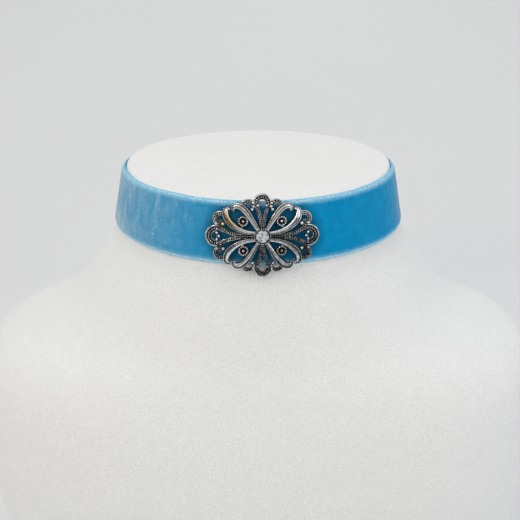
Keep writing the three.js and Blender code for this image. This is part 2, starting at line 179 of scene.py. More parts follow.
def monotone(xs, ys, x):
    """A smooth curve through points that never overshoots them."""
    xs, ys, x = np.asarray(xs, float), np.asarray(ys, float), np.asarray(x, float)
    gap = np.diff(xs)
    slope = np.diff(ys) / gap
    tangent = np.zeros_like(ys)
    tangent[0], tangent[-1] = slope[0], slope[-1]
    same = slope[:-1] * slope[1:] > 0
    left, right = gap[1:] + 2 * gap[:-1], 2 * gap[1:] + gap[:-1]
    inner = np.zeros(len(slope) - 1)
    inner[same] = (left + right)[same] / (left[same] / slope[1:][same] + right[same] / slope[:-1][same])
    tangent[1:-1] = inner
    i = np.clip(np.searchsorted(xs, x, side="right") - 1, 0, len(gap) - 1)
    t = (x - xs[i]) / gap[i]
    return (
        (2 * t**3 - 3 * t**2 + 1) * ys[i]
        + (t**3 - 2 * t**2 + t) * gap[i] * tangent[i]
        + (3 * t**2 - 2 * t**3) * ys[i + 1]
        + (t**3 - t**2) * gap[i] * tangent[i + 1]
    )


def soft_noise(rng, rows, columns, row_blur, column_blur):
    """A field of smooth random values about 0, that wraps along its columns."""
    field = rng.standard_normal((rows, columns))
    down = np.fft.fftfreq(rows)[:, None]
    across = np.fft.fftfreq(columns)[None, :]
    keep = np.exp(-2 * (math.pi * row_blur * down) ** 2 - 2 * (math.pi * column_blur * across) ** 2)
    field = np.real(np.fft.ifft2(np.fft.fft2(field) * keep))
    return field / field.std()


# Material helpers


class Nodes:
    """A short way to write a node tree."""

    def __init__(self, name):
        self.material = bpy.data.materials.new(name)
        self.material.use_nodes = True
        self.tree = self.material.node_tree
        self.tree.nodes.clear()
        self.output = self.add("ShaderNodeOutputMaterial")

    def add(self, kind, values=None, **settings):
        node = self.tree.nodes.new(kind)
        for key, value in settings.items():
            setattr(node, key, value)
        for key, value in (values or {}).items():
            self.set(node.inputs[key], value)
        return node

    def set(self, socket, value):
        if isinstance(value, bpy.types.NodeSocket):
            self.tree.links.new(value, socket)
        else:
            socket.default_value = value

    def attribute(self, name):
        return self.add("ShaderNodeAttribute", attribute_name=name).outputs["Fac"]

    def noise(self, scale, detail, roughness):
        place = self.add("ShaderNodeTexCoord").outputs["Object"]
        values = {"Vector": place, "Scale": scale, "Detail": detail, "Roughness": roughness}
        return self.add("ShaderNodeTexNoise", values).outputs["Fac"]

    def ramp(self, value, stops):
        node = self.add("ShaderNodeValToRGB", {"Fac": value})
        elements = node.color_ramp.elements
        while len(elements) < len(stops):
            elements.new(0.5)
        for element, (position, color) in zip(elements, stops):
            element.position = position
            element.color = (*color, 1) if hasattr(color, "__len__") else (color, color, color, 1)
        return node.outputs["Color"]

    def rise(self, value, low, high, top=1.0):
        """Goes from 0 to the top value as the input goes from low to high."""
        return self.ramp(value, [(low, 0.0), (high, top)])

    def math(self, operation, a, b):
        return self.add("ShaderNodeMath", {0: a, 1: b}, operation=operation).outputs[0]

    def mixed(self, share, a, b):
        node = self.add("ShaderNodeMix", data_type="RGBA")
        self.set(node.inputs[0], share)
        self.set(node.inputs[6], a)
        self.set(node.inputs[7], b)
        return node.outputs[2]

    def bump(self, height, distance, strength=1.0, normal=None):
        values = {"Height": height, "Distance": distance, "Strength": strength}
        if normal is not None:
            values["Normal"] = normal
        return self.add("ShaderNodeBump", values).outputs["Normal"]

    def surface(self, values):
        shader = self.add("ShaderNodeBsdfPrincipled", values)
        self.tree.links.new(shader.outputs[0], self.output.inputs["Surface"])
        return self.material


def rgb(red, green, blue):
    """A colour from the 0 to 255 values of a screen."""

    def linear(value):
        c = value / 255
        return c / 12.92 if c <= 0.04045 else ((c + 0.055) / 1.055) ** 2.4

    return (linear(red), linear(green), linear(blue), 1.0)


def flock_material():
    n = Nodes("bust_flock")
    grain = n.noise(2600, 2.0, 0.6)
    mottle = n.noise(120, 3.0, 0.5)
    cloud = n.noise(14, 2.0, 0.5)
    pale = n.mixed(n.rise(grain, 0.36, 0.64), rgb(217, 217, 216), rgb(241, 241, 240))
    soft = n.mixed(n.rise(mottle, 0.35, 0.65, 0.25), pale, rgb(224, 224, 223))
    color = n.mixed(n.rise(cloud, 0.35, 0.7, 0.15), soft, rgb(222, 224, 221))
    fine = n.bump(grain, 0.00016, 0.7)
    normal = n.bump(mottle, 0.0002, 0.08, fine)
    return n.surface(
        {
            "Base Color": color,
            "Roughness": 0.95,
            "Specular IOR Level": 0.15,
            "Sheen Weight": 0.25,
            "Sheen Roughness": 0.6,
            "Normal": normal,
        }
    )


def velvet_material():
    n = Nodes("velvet")
    pile = n.attribute("pile")
    fibre = n.noise(3300, 2.0, 0.6)
    facing = n.add("ShaderNodeLayerWeight", {"Blend": 0.35}).outputs["Facing"]
    # Partly painted sheen: this attribute pales the blue towards the left, where the light rakes the
    # brushed nap.
    nap_sheen = n.attribute("nap_sheen")
    deep = n.mixed(nap_sheen, rgb(5, 139, 190), rgb(174, 194, 201))
    mottle = n.ramp(n.noise(260, 2.0, 0.5), [(0.4, 0.5), (0.62, 0.0)])
    shifted = n.mixed(mottle, deep, n.mixed(nap_sheen, rgb(0, 124, 176), rgb(140, 172, 184)))
    speckled = n.mixed(n.rise(fibre, 0.45, 0.7, 0.5), shifted, rgb(26, 160, 206))
    # Rubbed pile streaks and flecks, partly crushed pile and partly painted glints, mostly on the left
    # where the light rakes.
    rubbed_and_lit = n.mixed(n.attribute("worn"), speckled, rgb(160, 204, 222))
    # Painted sheen: paler where the velvet turns away from the view.
    with_grazing_sheen = n.mixed(n.rise(facing, 0.6, 1.0, 0.6), rubbed_and_lit, rgb(182, 196, 206))
    # Painted shadow: darkens the velvet under and just round the ornament.
    shaded = n.mixed(n.math("MULTIPLY", n.attribute("ornament_shadow"), 0.5), with_grazing_sheen, rgb(0, 44, 66))
    woven = n.mixed(n.rise(fibre, 0.4, 0.6), rgb(104, 182, 216), rgb(160, 210, 230))
    pale = n.mixed(n.rise(fibre, 0.42, 0.62), rgb(120, 192, 222), rgb(214, 236, 244))
    fringe = n.mixed(n.rise(pile, 0.0, 0.04), woven, pale)
    color = n.mixed(n.ramp(pile, [(0.08, 0.0), (0.4, 0.6), (1.0, 1.0)]), fringe, shaded)
    return n.surface(
        {
            "Base Color": color,
            "Roughness": 0.9,
            "Specular IOR Level": 0.02,
            "Sheen Weight": 0.03,
            "Sheen Roughness": 0.4,
            "Sheen Tint": rgb(90, 180, 220),
            "Normal": n.bump(fibre, 0.00012, 0.5),
        }
    )


def silver_material():
    n = Nodes("antique_silver")
    cloud = n.noise(900, 4.0, 0.6)
    # Painted reflection: the attribute added here gilds the silver where warm light would reflect, spread
    # by noise.
    tint = n.math("ADD", n.noise(300, 2.0, 0.5), n.attribute("warm_light_reflection"))
    fine = n.noise(5200, 3.0, 0.6)
    wear = n.math("MULTIPLY", n.math("SUBTRACT", cloud, 0.5), 0.7)
    stain = n.math("ADD", n.attribute("stain"), wear)
    silver = n.mixed(n.rise(tint, 0.55, 0.95), rgb(229, 233, 236), rgb(232, 206, 150))
    dull = n.mixed(n.rise(stain, 0.08, 0.4), silver, rgb(115, 118, 119))
    color = n.mixed(n.rise(stain, 0.3, 0.62), dull, rgb(22, 21, 22))
    spread = {"From Min": 0.08, "From Max": 0.7, "To Min": 0.13, "To Max": 0.6}
    rough = n.add("ShaderNodeMapRange", {"Value": stain, **spread})
    spread = {"From Min": 0.5, "From Max": 0.9, "To Min": 1.0, "To Max": 0.4}
    metal = n.add("ShaderNodeMapRange", {"Value": stain, **spread})
    return n.surface(
        {
            "Base Color": color,
            "Metallic": metal.outputs[0],
            "Roughness": rough.outputs[0],
            "Normal": n.bump(n.math("ADD", fine, cloud), 0.00004, 0.4),
        }
    )


def clasp_material():
    n = Nodes("clasp_silver")
    cloud = n.noise(260, 4.0, 0.6)
    scratch = n.noise(1800, 3.0, 0.7)
    color = n.mixed(n.rise(cloud, 0.35, 0.7), rgb(176, 172, 166), rgb(120, 114, 108))
    rough = n.add("ShaderNodeMapRange", {"Value": scratch, "To Min": 0.25, "To Max": 0.45})
    return n.surface(
        {
            "Base Color": color,
            "Metallic": 1.0,
            "Roughness": rough.outputs[0],
            "Normal": n.bump(scratch, 0.00003, 0.5),
        }
    )


def crystal_material():
    n = Nodes("crystal")
    speck = n.noise(900, 2.0, 0.5)
    color = n.mixed(n.rise(speck, 0.3, 0.7), rgb(236, 243, 246), rgb(250, 252, 253))
    return n.surface(
        {
            "Base Color": color,
            "Roughness": 0.03,
            "IOR": 1.56,
            "Transmission Weight": 0.82,
            "Normal": n.bump(speck, 0.000004, 0.2),
        }
    )


def foil_material(name, metallic, dull, bright):
    n = Nodes(name)
    speck = n.noise(1400, 2.0, 0.5)
    color = n.mixed(n.rise(speck, 0.35, 0.7), dull, bright)
    return n.surface({"Base Color": color, "Metallic": metallic, "Roughness": 0.3})


# How bright the darker clouds of the stage's paper are against the rest
PAPER_SHADE = 0.965


def paper_material(name, color):
    n = Nodes(name)
    cloud = n.noise(3.0, 3.0, 0.5)
    shade = tuple(PAPER_SHADE * c for c in color[:3]) + (1.0,)
    tone = n.mixed(n.rise(cloud, 0.35, 0.65), color, shade)
    return n.surface({"Base Color": tone, "Roughness": 0.9, "Specular IOR Level": 0.2})


# The neck is a straight-sided oval cone. Angle 0 is the front, and a quarter turn is the +X side.


def neck_oval(z):
    below = BUST_HEIGHT - z
    side = NECK_WIDTH / 2 + FLARE_SIDE * below
    front = NECK_FRONT + FLARE_FRONT * below
    back = NECK_BACK + FLARE_BACK * below
    return side, front, back


def oval_points(side, front, back, angle, squareness=2.0):
    power = 2 / squareness
    across = np.sign(np.sin(angle)) * np.abs(np.sin(angle)) ** power
    along = np.sign(np.cos(angle)) * np.abs(np.cos(angle)) ** power
    return side * across, -np.where(along > 0, front, back) * along


# Below the collar: the fall as a share of the height left, how far each reach has gone from the
# collar's to its fullest, and how square the outline is.
BUST_COLUMNS = ("fall", "side", "front", "back", "squareness")
BUST_SECTIONS = np.array(
    [
        (0.0, 0.0, 0.0, 0.0, 2.0),
        (0.03, 0.065, 0.06, 0.08, 2.0),
        (0.075, 0.145, 0.16, 0.25, 2.04),
        (0.145, 0.264, 0.29, 0.55, 2.12),
        (0.178, 0.35, 0.345, 0.75, 2.17),
        (0.204, 0.45, 0.395, 0.82, 2.21),
        (0.23, 0.62, 0.455, 0.88, 2.26),
        (0.258, 0.785, 0.52, 0.93, 2.31),
        (0.298, 0.915, 0.6, 0.97, 2.36),
        (0.35, 0.98, 0.7, 1.0, 2.4),
        (0.44, 1.0, 0.83, 1.0, 2.42),
        (0.56, 1.0, 0.95, 1.0, 2.42),
        (0.69, 0.965, 1.0, 1.0, 2.42),
        (0.84, 0.9, 0.95, 1.0, 2.42),
        (1.0, 0.82, 0.84, 1.0, 2.42),
    ]
)
# Where the neck's cone is sampled: how many heights, the first a little above the top
NECK_KNOTS = 7
KNOT_MARGIN = 2.0
# How finely the bust is drawn: points round it, and rings up its edges, its wall and its top
BUST_SIDES = 180
BASE_RINGS = 6
WALL_RINGS = 110
RIM_RINGS = 9
CROWN_RINGS = 14


def bust_column(name):
    return BUST_SECTIONS[:, BUST_COLUMNS.index(name)]


def bust_reaches(z):
    """Side, front and back reach and squareness of the bust at each height."""
    collar_z = BUST_HEIGHT - COLLAR_DEPTH
    collar = neck_oval(collar_z)
    fullest = (SHOULDER_WIDTH / 2, CHEST_REACH, BUST_BACK)
    neck_z = np.linspace(BUST_HEIGHT + KNOT_MARGIN, collar_z, NECK_KNOTS + 1)[:-1]
    knots = np.concatenate([neck_z, collar_z * (1 - bust_column("fall"))])
    reaches = []
    for i, name in enumerate(("side", "front", "back")):
        neck = neck_oval(neck_z)[i]
        below = collar[i] + (fullest[i] - collar[i]) * bust_column(name)
        reaches.append(monotone(knots[::-1], np.concatenate([neck, below])[::-1], z))
    square = np.concatenate([np.full(NECK_KNOTS, 2.0), bust_column("squareness")])
    reaches.append(monotone(knots[::-1], square[::-1], z))
    return reaches


def quarter_round(radius, rings):
    """Distance from the flat face and inset from the side, going from the side to the face."""
    turns = np.linspace(0, math.pi / 2, rings)
    return [(radius * (1 - math.sin(t)), radius * (1 - math.cos(t))) for t in turns]


def bust_profile():
    """Height and inset of each ring, from the base's edge up to the rim's."""
    base = quarter_round(BASE_EDGE, BASE_RINGS)[::-1]
    wall = [(z, 0.0) for z in np.linspace(BASE_EDGE, BUST_HEIGHT - NECK_RIM, WALL_RINGS)[1:-1]]
    rim = [(BUST_HEIGHT - drop, inset) for drop, inset in quarter_round(NECK_RIM, RIM_RINGS)]
    return base + wall + rim


def make_bust():
    sides = BUST_SIDES
    angle = TURN * np.arange(sides) / sides
    rings = []
    for z, inset in bust_profile():
        side, front, back, square = (float(r) for r in bust_reaches(z))
        x, y = oval_points(side - inset, front - inset, back - inset, angle, square)
        rings.append(np.stack([x, y, np.full(sides, z)], axis=-1))
    rim = rings[-1]
    for share in np.linspace(1, 0, CROWN_RINGS)[1:-1]:
        crown = rim * (share, share, 1)
        crown[:, 2] = BUST_HEIGHT + NECK_CROWN * (1 - share**2)
        rings.append(crown)
    points = np.concatenate(rings)
    quads = grid_quads(len(rings), sides)
    last = len(points) - sides
    points = np.vstack([points, (0, 0, 0), (0, 0, BUST_HEIGHT + NECK_CROWN)])
    bottom, top = len(points) - 2, len(points) - 1
    i = np.arange(sides)
    j = (i + 1) % sides
    fans = np.vstack([fan(bottom, j, i), fan(top, last + i, last + j)])
    piece = mesh_object("bust_skin", points, quads, fans)
    piece.data.materials.append(flock_material())
    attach(piece, "root")
    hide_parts("neck_bust")


# Ribbon. A place on it is an angle round the neck, a distance down and a height above its back.


def ribbon_frame(angle):
    """Where the ribbon starts at its upper edge, with its ways down and out."""
    z = BUST_HEIGHT + RIBBON_LIFT - RIBBON_BACK_DROP * ((1 - np.cos(angle)) / 2) ** RIBBON_DROP_POWER
    side, front, back = neck_oval(z)
    is_front = np.cos(angle) > 0
    reach = np.where(is_front, front, back)
    start = np.stack([side * np.sin(angle), -reach * np.cos(angle), z], axis=-1)
    flare = np.where(is_front, FLARE_FRONT, FLARE_BACK)
    down = np.stack([FLARE_SIDE * np.sin(angle), -flare * np.cos(angle), -np.ones_like(angle)], axis=-1)
    down /= np.linalg.norm(down, axis=-1, keepdims=True)
    along = np.stack([side * np.cos(angle), reach * np.sin(angle), np.zeros_like(angle)], axis=-1)
    out = np.cross(down, along)
    out /= np.linalg.norm(out, axis=-1, keepdims=True)
    return start, down, out


def ribbon_points(angle, below, height):
    start, down, out = ribbon_frame(angle)
    return start + down * below[..., None] + out * (RIBBON_FIT + height)[..., None]


def loop_length():
    angle = np.linspace(-math.pi, math.pi, 2000)
    points = ribbon_points(angle, np.full_like(angle, RIBBON_WIDTH / 2), np.full_like(angle, GROUND))
    return float(np.linalg.norm(np.diff(points, axis=0), axis=1).sum())


# The ribbon's grid: columns along it, rows across its face, those near an edge and the first of the
# others in millimetres from it, and the back's rows as shares of the width
RIBBON_COLUMNS = 1170
FACE_ROWS = 76
EDGE_ROWS = np.array([0.0, 0.1, 0.25, 0.45, 0.7])
INNER_ROW = 0.95
BACK_ROWS = np.array([1.0, 0.66, 0.33, 0.0])
# The woven edge's threads, in columns from one to the next, and heights in millimetres
THREAD_PITCH = 3.0
THREAD_HEIGHT = 0.07
THREAD_FUZZ = 0.03
PILE_SLACK = 0.14
PILE_FUZZ = 0.022
PILE_TUFTS = 0.025
PILE_SWELL = 0.03
# How far the two edges wander and how deep their threads notch them, in millimetres
EDGE_WAVE = 0.08
EDGE_NOTCH = 0.05
# How pale the nap is at angles round the neck, in radians from the front: partly the brushed nap's own
# lie, partly painted sheen, palest on the left where the light falls
NAP_SHEEN_ANGLES = (-3.2, -1.9, -1.5, -1.1, -0.6, -0.4, 0.0, 0.5, 1.0, 1.35, 1.9, 3.2)
NAP_SHEEN_SHARES = (0.2, 0.7, 1.0, 0.58, 0.22, 0.1, 0.04, 0.0, 0.03, 0.2, 0.3, 0.2)


def thread_wave(columns):
    return np.sin(TURN * np.arange(columns) / THREAD_PITCH)


def ribbon_relief(rng, below, columns):
    """Heights above the ribbon's back, and how far each place is pile rather than woven edge."""
    rows = len(below)
    edge = np.minimum(below, RIBBON_WIDTH - below)[:, None]
    fuzz = soft_noise(rng, rows, columns, 0.6, 0.6)
    tufts = soft_noise(rng, rows, columns, 1.8, 1.6)
    swell = soft_noise(rng, rows, columns, 10, 30)
    border = edge + 0.14 * soft_noise(rng, rows, columns, 1.5, 1.5)
    rise = smoothstep(SELVEDGE - 0.3, SELVEDGE + PILE_SHOULDER + 0.2, border)
    woven = (THREAD_HEIGHT * thread_wave(columns)[None, :] + THREAD_FUZZ * fuzz) * (1 - rise)
    height = GROUND * smoothstep(-0.3, 0.35, edge) + woven + (PILE - PILE_SLACK) * rise
    height += rise * (PILE_FUZZ * fuzz + PILE_TUFTS * tufts + PILE_SWELL * swell)
    ragged = edge + 0.07 * soft_noise(rng, rows, columns, 1.5, 1.5)
    return np.clip(height, 0.2 * GROUND, RIBBON_THICKNESS), smoothstep(0.15, 2.6, ragged), fuzz


def ribbon_rows(rng, angle):
    """Points of the face's rows and of the back's, and the face's pile and fuzz."""
    columns = len(angle)
    inner = np.linspace(INNER_ROW, RIBBON_WIDTH - INNER_ROW, FACE_ROWS - 2 * len(EDGE_ROWS))
    below = np.concatenate([EDGE_ROWS, inner, RIBBON_WIDTH - EDGE_ROWS[::-1]])
    height, pile, fuzz = ribbon_relief(rng, below, columns)
    wave = EDGE_WAVE * soft_noise(rng, 1, columns, 1, 14) + EDGE_NOTCH * thread_wave(columns)
    outward = np.sign(below[:, None] - RIBBON_WIDTH / 2)
    edge = np.minimum(below, RIBBON_WIDTH - below)[:, None]
    down = below[:, None] + wave * outward * (1 - smoothstep(0, 1, edge))
    face = ribbon_points(np.broadcast_to(angle, height.shape), down, height)
    back_below = np.repeat(BACK_ROWS[:, None] * RIBBON_WIDTH, columns, axis=1)
    back_below[0] = down[-1]
    back_below[-1] = down[0]
    back = ribbon_points(np.broadcast_to(angle, back_below.shape), back_below, np.zeros_like(back_below))
    return face, back, pile, fuzz


def ribbon_layers(rng, angle, face, pile, fuzz):
    """What the velvet's material reads at each point of the face, among it painted sheen, painted glints
    and a painted shadow under the ornament.
    """
    columns = len(angle)
    streak = soft_noise(rng, FACE_ROWS, columns, 5, 1.6)
    cloud = soft_noise(rng, FACE_ROWS, columns, 9, 45)
    # Painted sheen on the brushed nap, palest on the left where the light falls
    nap_sheen = np.interp(angle, NAP_SHEEN_ANGLES, NAP_SHEEN_SHARES)[None, :]
    left = smoothstep(0.2, 0.8, -angle)[None, :]
    # Streaks and flecks weighted to the left: partly crushed pile, partly painted glints where the light
    # rakes from the left
    rubbed_and_lit = 0.08 * smoothstep(0.2, 2.2, streak + 0.5 * cloud) * left
    flecks = (0.04 + 0.42 * left) * smoothstep(1.1, 2.6, fuzz + 0.4 * streak)
    place = jewel_matrix().inverted()
    local = face @ np.array(place.to_3x3()).T + np.array(place.translation)
    reach = np.hypot(local[..., 0] / HALF_WIDTH, local[..., 1] / HALF_HEIGHT)
    return {
        "pile": pile,
        "nap_sheen": np.clip(nap_sheen * (1 + 0.1 * cloud + 0.08 * streak * left), 0, 1),
        # Partly wear of the pile, partly painted glints on the lit left side
        "worn": np.clip(rubbed_and_lit + flecks, 0, 1),
        # Painted shadow of the ornament on the ribbon, fading just outside its outline
        "ornament_shadow": smoothstep(-1.16, -0.86, -reach) * (local[..., 2] > -8),
    }


def make_ribbon():
    rng = np.random.default_rng(22)
    columns = RIBBON_COLUMNS
    half = math.pi - CLOSURE_GAP / 2 / (NECK_BACK + RIBBON_FIT)
    angle = np.linspace(-half, half, columns)
    face, back, pile, fuzz = ribbon_rows(rng, angle)
    rows = np.concatenate([face, back])
    count = len(rows)
    quads = grid_quads(count, columns, wrap_columns=False, wrap_rows=True)[:, ::-1]
    points = np.vstack([rows.reshape(-1, 3), rows[:, 0].mean(0), rows[:, -1].mean(0)])
    outline = np.arange(count) * columns
    nxt = np.roll(outline, -1)
    start, end = len(points) - 2, len(points) - 1
    fans = np.vstack([fan(start, outline, nxt), fan(end, nxt + columns - 1, outline + columns - 1)])
    piece = mesh_object("velvet_band", points, quads, fans)
    for name, values in ribbon_layers(rng, angle, face, pile, fuzz).items():
        whole = np.zeros((count, columns))
        whole[:FACE_ROWS] = values
        add_values(piece, name, np.concatenate([whole.ravel(), [0.0, 0.0]]))
    piece.data.materials.append(velvet_material())
    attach(piece, "root")
    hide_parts("velvet_ribbon")
    length = (loop_length() - CLOSURE_GAP) * MM


CLASP_EASE = 0.3
CLASP_COLUMNS = 40


def make_clasp():
    """The plain channel that folds over both ends of the ribbon, with its outer edges eased."""
    inside = RIBBON_THICKNESS + CLASP_CLEARANCE
    outside = inside + CLASP_THICKNESS
    eased = outside - CLASP_EASE
    low, high = -CLASP_CLEARANCE, RIBBON_WIDTH + CLASP_CLEARANCE
    bottom, top = low - CLASP_THICKNESS, high + CLASP_THICKNESS
    outline = [
        (0, bottom),
        (eased, bottom),
        (outside, bottom + CLASP_EASE),
        (outside, top - CLASP_EASE),
        (eased, top),
        (0, top),
        (0, high),
        (inside, high),
        (inside, low),
        (0, low),
    ]
    steps = CLASP_COLUMNS
    half = (CLOSURE_GAP / 2 + CLASP_GRIP) / (NECK_BACK + RIBBON_FIT)
    angle = np.linspace(math.pi - half, math.pi + half, steps)
    rows = np.stack(
        [ribbon_points(angle, np.full(steps, below), np.full(steps, height)) for height, below in outline]
    )
    count = len(outline)
    quads = grid_quads(count, steps, wrap_columns=False, wrap_rows=True)
    first = np.arange(count) * steps
    ends = [first[::-1], first + steps - 1]
    piece = mesh_object("clasp_channel", rows.reshape(-1, 3), quads, ends, smooth=False)
    piece.data.materials.append(clasp_material())
    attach(piece, "root")
    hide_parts("back_clasp")


# Ornament. One quarter is drawn flat in shares of the half width and half height, then mirrored.

HALF_WIDTH = ORNAMENT_WIDTH / 2
HALF_HEIGHT = ORNAMENT_HEIGHT / 2
CASTING_BACK = 0.15
LOBE_LEVEL = 0.95
BEAD_PITCH = 0.8
BAND_WIDTH = 2.25
BAND_LEVEL = 2.0
STEM_WIDTH = 1.25
STEM_LEVEL = 1.35
BALL_RADIUS = 0.75
BAR_WIDTH = 2.2
BAR_LEVEL = 1.35
RAIL_RADIUS = 0.32
ROSETTE_RADIUS = 1.9
ROSETTE_LEVEL = 1.2
# How much darker the beaded lines are than the polished bands
LINE_TARNISH = 0.25
# How much brighter their beads and the scallops' rims are worn
BEAD_WEAR = 0.11
SCALLOP_WEAR = 0.18
# How much brighter the rosettes' rings are worn
RING_WEAR = 0.2
# How finely curves and rings are drawn
SPLINE_STEPS = 40
ARC_STEPS = 120
BAND_STEPS = 64
BAR_STEP = 0.2
WEB_STEP = 0.3
BAR_SIDES = 10
TURNED_SIDES = 48
# A double line: its ridges' and beads' radii and its beads' place as shares of its width, and how
# far its ridges and its web lie below its level
OUTER_RIDGE = 0.12
INNER_RIDGE = 0.09
LINE_BEAD = 0.27
LINE_BEAD_ASIDE = 0.03
OUTER_DROP = 0.05
INNER_DROP = 0.15
WEB_DROP = 0.5
WEB_BEVEL = 0.1
# The bar's beaded rows as shares of its half width, its beads' radius as a share of its width, and
# how far its web lies below its level and its beads rise above it
BAR_ROWS = (-0.68, 0.0, 0.68)
BAR_BEAD = 0.155
BAR_DROP = 0.3
BAR_RISE = 0.1


def placed(u, v):
    """Millimetres across and up from a place given as shares."""
    return np.array([u * HALF_WIDTH, v * HALF_HEIGHT])


def bend(points):
    """Bends flat points, x across, y up and z outward, round the neck."""
    x, y, z = np.moveaxis(np.asarray(points, float), -1, 0)
    angle = x / ORNAMENT_BEND
    radius = ORNAMENT_BEND + z - ORNAMENT_CROWN * (y / HALF_HEIGHT) ** 2
    return np.stack([radius * np.sin(angle), y, radius * np.cos(angle) - ORNAMENT_BEND], axis=-1)


def jewel_matrix():
    """The ornament's place on the ribbon, in millimetres: its own x across, y up and z outward."""
    reach = RIBBON_WIDTH / 2 + ORNAMENT_DROP - SELVEDGE - PILE_SHOULDER
    height = RIBBON_THICKNESS + SEAT_GAP + ORNAMENT_CROWN * (reach / HALF_HEIGHT) ** 2
    angle = np.array([math.asin(ORNAMENT_ASIDE / (NECK_WIDTH / 2))])
    _, down, out = ribbon_frame(angle)
    seat = ribbon_points(angle, np.array([RIBBON_WIDTH / 2 + ORNAMENT_DROP]), np.array([height]))[0]
    axes = np.stack([np.cross(out[0], down[0]), -down[0], out[0]], axis=1)
    matrix = Matrix(axes.tolist()).to_4x4()
    matrix.translation = Vector(seat)
    return matrix


def on_ribbon(points):
    """The ornament's flat points, bent and set in their place."""
    place = jewel_matrix()
    return bend(points) @ np.array(place.to_3x3()).T + np.array(place.translation)


class Casting:
    """Closed shells of one casting. Each point also has a stain: 0 is worn bright, 1 is darkest."""

    def __init__(self):
        self.points = []
        self.stains = []
        self.faces = []
        self.count = 0
        self.tarnish = 0.0

    def loft(self, rings, stain):
        """Rings of equally many points, closed at both ends by fans."""
        rings = np.asarray(rings)
        count, sides = rings.shape[:2]
        stain = np.clip(np.broadcast_to(stain, (count, sides)) + self.tarnish, 0, 1)
        self.points.append(np.vstack([rings.reshape(-1, 3), rings[0].mean(0), rings[-1].mean(0)]))
        self.stains.append(np.concatenate([stain.ravel(), [stain[0].mean(), stain[-1].mean()]]))
        i = np.arange(sides)
        j = (i + 1) % sides
        first, last, end = count * sides, count * sides + 1, (count - 1) * sides
        fans = np.vstack([fan(first, j, i), fan(last, end + i, end + j)])
        faces = grid_quads(count, sides).tolist() + fans.tolist()
        self.faces += [tuple(i + self.count for i in f) for f in faces]
        self.count += count * sides + 2

    def mirrored(self, x, y):
        copy = Casting()
        copy.points = [p * (x, y, 1) for p in self.points]
        copy.stains = self.stains
        copy.faces = [f[::-1] for f in self.faces] if x * y < 0 else list(self.faces)
        copy.count = self.count
        return copy

    def take(self, other):
        self.points += other.points
        self.stains += other.stains
        self.faces += [tuple(i + self.count for i in f) for f in other.faces]
        self.count += other.count


class Spline:
    """A smooth flat curve through places given as shares, walked by its length."""

    def __init__(self, places):
        knots = np.array([placed(u, v) for u, v in places])
        padded = np.vstack([knots[:1], knots, knots[-1:]])
        fine = []
        for k in range(len(knots) - 1):
            a, b, c, d = padded[k : k + 4]
            t = np.linspace(0, 1, SPLINE_STEPS, endpoint=k == len(knots) - 2)[:, None]
            linear, square, cube = c - a, 2 * a - 5 * b + 4 * c - d, 3 * b - a - 3 * c + d
            fine.append(0.5 * (2 * b + linear * t + square * t**2 + cube * t**3))
        self.line = np.vstack(fine)
        self.measure()

    def measure(self):
        step = np.linalg.norm(np.diff(self.line, axis=0), axis=1)
        self.at = np.concatenate([[0], np.cumsum(step)])
        self.length = float(self.at[-1])

    def point(self, share):
        s = np.asarray(share) * self.length
        return np.stack([np.interp(s, self.at, self.line[:, i]) for i in (0, 1)], axis=-1)

    def tangent(self, share):
        gap = 0.004
        ahead = self.point(np.minimum(np.asarray(share) + gap, 1))
        behind = self.point(np.maximum(np.asarray(share) - gap, 0))
        way = ahead - behind
        return way / np.linalg.norm(way, axis=-1, keepdims=True)


class Arc(Spline):
    """A round arc: centre in shares, radius in millimetres, angles in degrees."""

    def __init__(self, u, v, radius, start, end):
        angle = np.radians(np.linspace(start, end, ARC_STEPS))
        self.line = placed(u, v) + radius * np.stack([np.cos(angle), np.sin(angle)], axis=-1)
        self.measure()


def stroke(casting, curve, steps, sections, stain):
    """A bar along a curve. sections is steps x sides x 2: across to the left, and outward."""
    share = np.linspace(0, 1, steps)
    p = curve.point(share)[:, None, :]
    way = curve.tangent(share)[:, None, :]
    sections = np.asarray(sections)
    across, outward = sections[..., 0], sections[..., 1]
    x = p[..., 0] - way[..., 1] * across
    y = p[..., 1] + way[..., 0] * across
    casting.loft(np.stack([x, y, np.broadcast_to(outward, x.shape)], axis=-1), stain)


def round_bar(casting, curve, radius, level, offset=0.0, worn=0.0):
    """A round wire at a level, offset to its left. Worn lessens its stain."""
    steps = max(8, int(curve.length / BAR_STEP))
    angle = TURN * np.arange(BAR_SIDES) / BAR_SIDES
    radius = np.broadcast_to(radius, steps)[:, None]
    across = np.broadcast_to(offset, steps)[:, None] + radius * np.cos(angle)
    outward = np.broadcast_to(level, steps)[:, None] + radius * np.sin(angle)
    stain = np.broadcast_to(0.55 - 0.55 * np.sin(angle) - worn, across.shape)
    stroke(casting, curve, steps, np.stack([across, outward], axis=-1), stain)


def unit_ball():
    """A ball's rings of points and their stains: bright on top, dark where it meets its bed."""
    rings, sides = 8, 10
    polar = math.pi * np.arange(1, rings) / rings
    around = TURN * np.arange(sides) / sides
    x = np.sin(polar)[:, None] * np.cos(around)
    y = np.sin(polar)[:, None] * np.sin(around)
    z = np.broadcast_to(-np.cos(polar)[:, None], x.shape)
    return np.stack([x, y, z], axis=-1), 1 - smoothstep(0.3, 0.97, z)


BALL, BALL_STAIN = unit_ball()


def bead(casting, x, y, level, radius):
    casting.loft(BALL * radius + (x, y, level), BALL_STAIN)


def bead_row(casting, curve, radius, level, offset):
    """Milgrain: nearly touching beads along a curve, offset to its left."""
    count = max(2, int(round(curve.length / BEAD_PITCH)) + 1)
    share = np.linspace(0, 1, count)
    points = curve.point(share)
    way = curve.tangent(share)
    offset = np.broadcast_to(offset, count)
    level = np.broadcast_to(level, count)
    radius = np.broadcast_to(radius, count)
    for (x, y), (dx, dy), side, z, r in zip(points, way, offset, level, radius):
        bead(casting, x - dy * side, y + dx * side, z, r)


